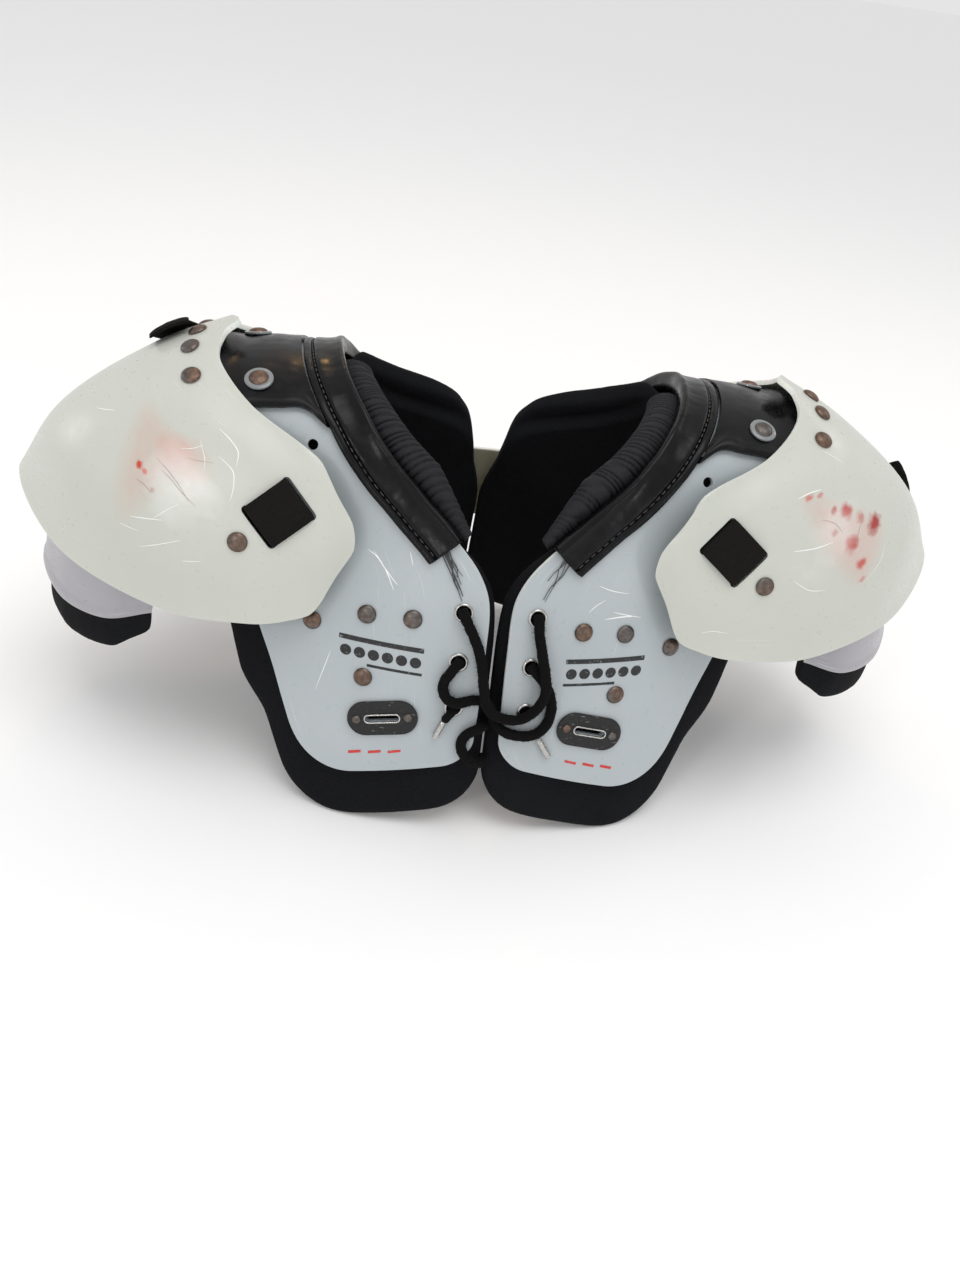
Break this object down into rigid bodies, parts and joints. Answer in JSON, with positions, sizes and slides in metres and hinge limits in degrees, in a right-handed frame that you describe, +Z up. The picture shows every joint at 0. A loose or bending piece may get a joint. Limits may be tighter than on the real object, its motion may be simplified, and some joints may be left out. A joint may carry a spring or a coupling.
{
  "type": "football shoulder pads",
  "caption": "Football shoulder pad: two moulded white arches with shoulder flaps, arm cups and black padding, laced at the front and bridged at the back.",
  "frame": {"origin": "on the floor under the centre of the pad's box", "axes": "+Z up, -Y the way the chest faces, +X to the right as seen from the front"},
  "size_m": [0.5488, 0.2483, 0.2478],
  "materials": {
    "moulded_polyethylene": "worn semi-gloss, slightly translucent",
    "pale_grey_polyethylene": "satin",
    "black_nylon_over_foam": "matte, softly puckered",
    "black_vinyl": "glossy, creased",
    "black_elastic_webbing": "matte woven",
    "antiqued_brass": "tarnished",
    "nickel_plate": "polished, scuffed",
    "black_cotton_lace": "fuzzy braid"
  },
  "bodies": {
    "root": {"body_arch_left": "moulded_polyethylene", "shoulder_flap_left": "moulded_polyethylene", "deltoid_cup_left": "pale_grey_polyethylene", "body_pad_left": "black_nylon_over_foam", "neck_roll_left": "black_nylon_over_foam", "cup_pad_left": "black_nylon_over_foam", "neck_channel_left": "black_vinyl", "saddle_strap_left": "black_vinyl", "belt_slot_facing_left": "black_vinyl", "belt_slot_ferrule_left": "nickel_plate", "eyelet_1_left": "nickel_plate", "eyelet_2_left": "nickel_plate", "eyelet_3_left": "nickel_plate", "chest_rivet_1_left": "antiqued_brass", "hinge_rivet_1_left": "antiqued_brass", "chest_rivet_2_left": "antiqued_brass", "hinge_rivet_2_left": "antiqued_brass", "chest_rivet_3_left": "antiqued_brass", "hinge_rivet_3_left": "antiqued_brass", "chest_rivet_4_left": "antiqued_brass", "hinge_rivet_4_left": "antiqued_brass", "strap_washer_1_left": "antiqued_brass", "strap_washer_2_left": "antiqued_brass", "loop_rivet_left": "antiqued_brass", "flap_loop_front_left": "black_elastic_webbing", "flap_loop_back_left": "black_elastic_webbing", "aglet_left": "nickel_plate", "body_arch_right": "moulded_polyethylene", "shoulder_flap_right": "moulded_polyethylene", "deltoid_cup_right": "pale_grey_polyethylene", "body_pad_right": "black_nylon_over_foam", "neck_roll_right": "black_nylon_over_foam", "cup_pad_right": "black_nylon_over_foam", "neck_channel_right": "black_vinyl", "saddle_strap_right": "black_vinyl", "belt_slot_facing_right": "black_vinyl", "belt_slot_ferrule_right": "nickel_plate", "eyelet_1_right": "nickel_plate", "eyelet_2_right": "nickel_plate", "eyelet_3_right": "nickel_plate", "chest_rivet_1_right": "antiqued_brass", "hinge_rivet_1_right": "antiqued_brass", "chest_rivet_2_right": "antiqued_brass", "hinge_rivet_2_right": "antiqued_brass", "chest_rivet_3_right": "antiqued_brass", "hinge_rivet_3_right": "antiqued_brass", "chest_rivet_4_right": "antiqued_brass", "hinge_rivet_4_right": "antiqued_brass", "strap_washer_1_right": "antiqued_brass", "strap_washer_2_right": "antiqued_brass", "loop_rivet_right": "antiqued_brass", "flap_loop_front_right": "black_elastic_webbing", "flap_loop_back_right": "black_elastic_webbing", "aglet_right": "nickel_plate", "back_bridge": "moulded_polyethylene", "lace_upper": "black_cotton_lace", "lace_lower": "black_cotton_lace", "lace_loop": "black_cotton_lace", "lace_end_left": "black_cotton_lace"}
  },
  "joints": []
}
